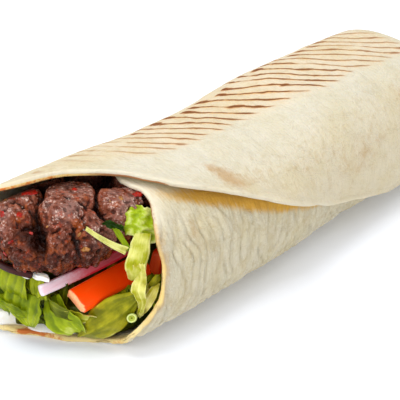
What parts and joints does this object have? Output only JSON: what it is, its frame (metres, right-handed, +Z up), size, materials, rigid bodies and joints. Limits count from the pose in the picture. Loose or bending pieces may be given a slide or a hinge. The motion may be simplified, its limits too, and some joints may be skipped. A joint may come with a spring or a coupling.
{
  "type": "doner kebab sandwich",
  "caption": "Rolled sandwich lying on its side: grilled flatbread wound round minced kebab meat, lettuce, tomato, red onion and white sauce, open at one end and tucked in at the other.",
  "frame": {"origin": "on the table, under the middle of the roll's bounding box", "axes": "+Y along the roll towards its tucked end, +Z up, +X towards the side where the last layer of bread ends in a loose flap"},
  "size_m": [0.0788, 0.225, 0.0656],
  "materials": {
    "flatbread": "matte, floury, with thin brown grill lines",
    "kebab_meat": "greasy and grainy",
    "lettuce": "waxy, with pale ribs",
    "tomato_strip": "wet",
    "tomato_slice": "wet",
    "onion_strip": "wet and half clear",
    "onion_slice": "wet and half clear",
    "sauce": "creamy"
  },
  "bodies": {
    "root": {"flatbread": "flatbread", "kebab_meat": "kebab_meat", "lettuce": "lettuce", "tomato_strip": "tomato_strip", "tomato_slice": "tomato_slice", "onion_strip": "onion_strip", "onion_slice": "onion_slice", "sauce": "sauce"}
  },
  "joints": []
}
